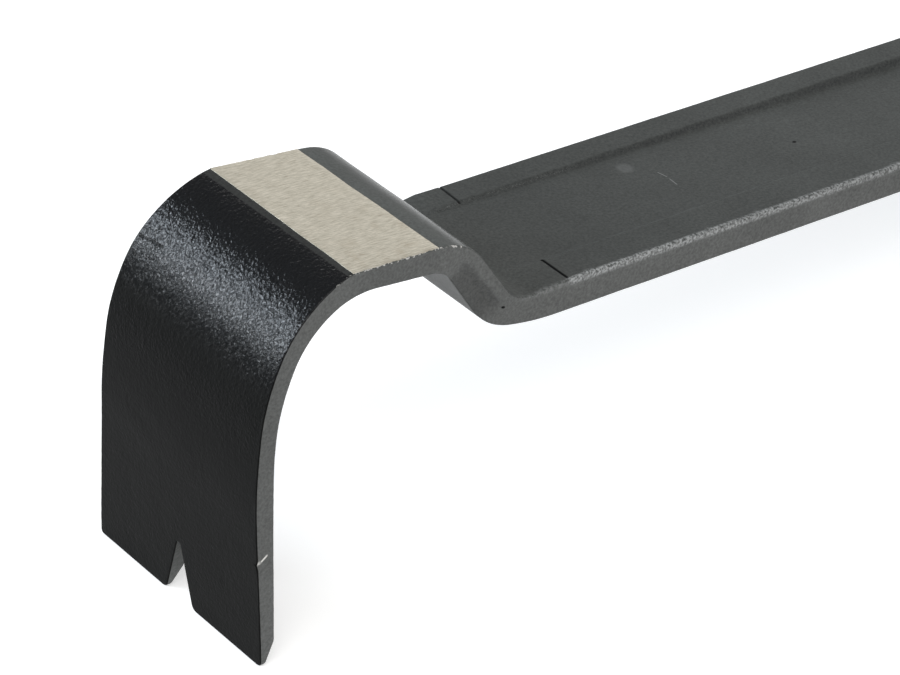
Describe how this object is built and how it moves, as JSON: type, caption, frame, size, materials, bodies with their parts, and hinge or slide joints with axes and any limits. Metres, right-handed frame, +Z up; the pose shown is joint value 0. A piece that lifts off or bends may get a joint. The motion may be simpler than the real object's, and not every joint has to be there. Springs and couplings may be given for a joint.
{
  "type": "pry bar",
  "caption": "Flat forged pry bar: flared hook claw with a V nail slot, ground striking face, gooseneck, recessed shank, nail eye and bevelled chisel end.",
  "frame": {"origin": "on the surface that the bar stands on, midway along its length and midway across its width", "axes": "+X along the bar from the claw towards the chisel end, +Y across the width to the bar's left, +Z up from the surface"},
  "size_m": [0.3798, 0.0458, 0.0669],
  "materials": {
    "black_coat": "thin black coat on forged steel, satin on the shank and the sides, glossy with a leathery grain round the hook",
    "ground_steel": "ground bare steel with fine scratches along the bar"
  },
  "bodies": {
    "root": {"claw_tine_left": "black_coat", "claw_tine_right": "black_coat", "claw_blade": "black_coat", "claw_bend": "black_coat", "striking_land": "black_coat", "striking_face": "ground_steel", "gooseneck": "black_coat", "shank_root": "black_coat", "shank_web": "black_coat", "shank_rail_left": "black_coat", "shank_rail_right": "black_coat", "puller_plate": "black_coat", "chisel_blade": "black_coat", "chisel_tine_left": "black_coat", "chisel_tine_right": "black_coat"}
  },
  "joints": []
}
